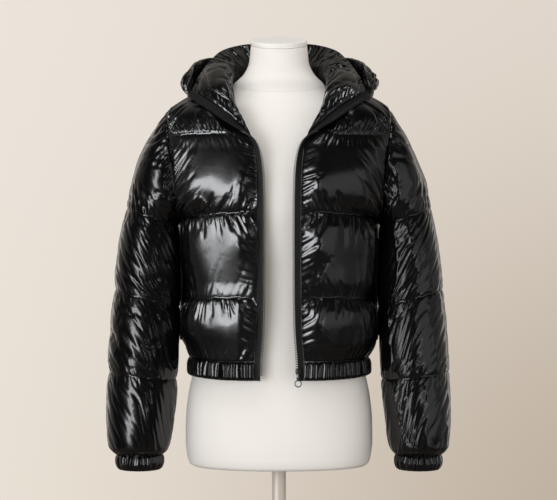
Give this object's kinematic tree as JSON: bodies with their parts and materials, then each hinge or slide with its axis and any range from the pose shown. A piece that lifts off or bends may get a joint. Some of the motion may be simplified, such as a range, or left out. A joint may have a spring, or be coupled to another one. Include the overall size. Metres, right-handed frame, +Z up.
{
  "type": "puffer jacket on a dress form",
  "caption": "Cropped, hooded puffer jacket in glossy quilted nylon with an open zip and elastic hem and cuffs, worn on a limbless dress form with a pole and a round base.",
  "frame": {"origin": "the middle of the round base's underside, on the floor; the pole's axis is the Z axis", "axes": "+Z up; +X to the viewer's right, which is the wearer's left; the open front faces -Y"},
  "size_m": [0.5902, 0.3905, 1.5425],
  "materials": {
    "back": "glossy wet-look nylon",
    "collar": "glossy wet-look nylon",
    "form_base": "satin",
    "form_neck_cap": "matt",
    "form_pole": "satin",
    "form_torso": "matt",
    "hem_band": "glossy wet-look nylon",
    "hood_centre": "glossy wet-look nylon",
    "hood_left_side": "glossy wet-look nylon",
    "hood_right_side": "glossy wet-look nylon",
    "left_cuff": "glossy wet-look nylon",
    "left_front": "glossy wet-look nylon",
    "left_pocket_welt": "glossy wet-look nylon",
    "left_sleeve": "glossy wet-look nylon",
    "left_zip_tape": "woven, with a moulded chain",
    "right_cuff": "glossy wet-look nylon",
    "right_front": "glossy wet-look nylon",
    "right_pocket_welt": "glossy wet-look nylon",
    "right_sleeve": "glossy wet-look nylon",
    "right_zip_tape": "woven, with a moulded chain",
    "zip_pull": "grey satin",
    "zip_slider": "dark gunmetal",
    "zip_stop": "dark gunmetal"
  },
  "bodies": {
    "jacket_and_form": {"back": "back", "collar": "collar", "form_base": "form_base", "form_neck_cap": "form_neck_cap", "form_pole": "form_pole", "form_torso": "form_torso", "hem_band": "hem_band", "hood_centre": "hood_centre", "hood_left_side": "hood_left_side", "hood_right_side": "hood_right_side", "left_cuff": "left_cuff", "left_front": "left_front", "left_pocket_welt": "left_pocket_welt", "left_sleeve": "left_sleeve", "left_zip_tape": "left_zip_tape", "right_cuff": "right_cuff", "right_front": "right_front", "right_pocket_welt": "right_pocket_welt", "right_sleeve": "right_sleeve", "right_zip_tape": "right_zip_tape", "zip_slider": "zip_slider", "zip_stop": "zip_stop"},
    "pull": {"zip_pull": "zip_pull"}
  },
  "joints": [
    {"name": "pull_swing", "type": "hinge", "parent": "jacket_and_form", "child": "pull", "pos_m": [0.0316, -0.13202, 0.9665], "axis": [-1, 0, 0], "range_deg": [0, 110]}
  ]
}
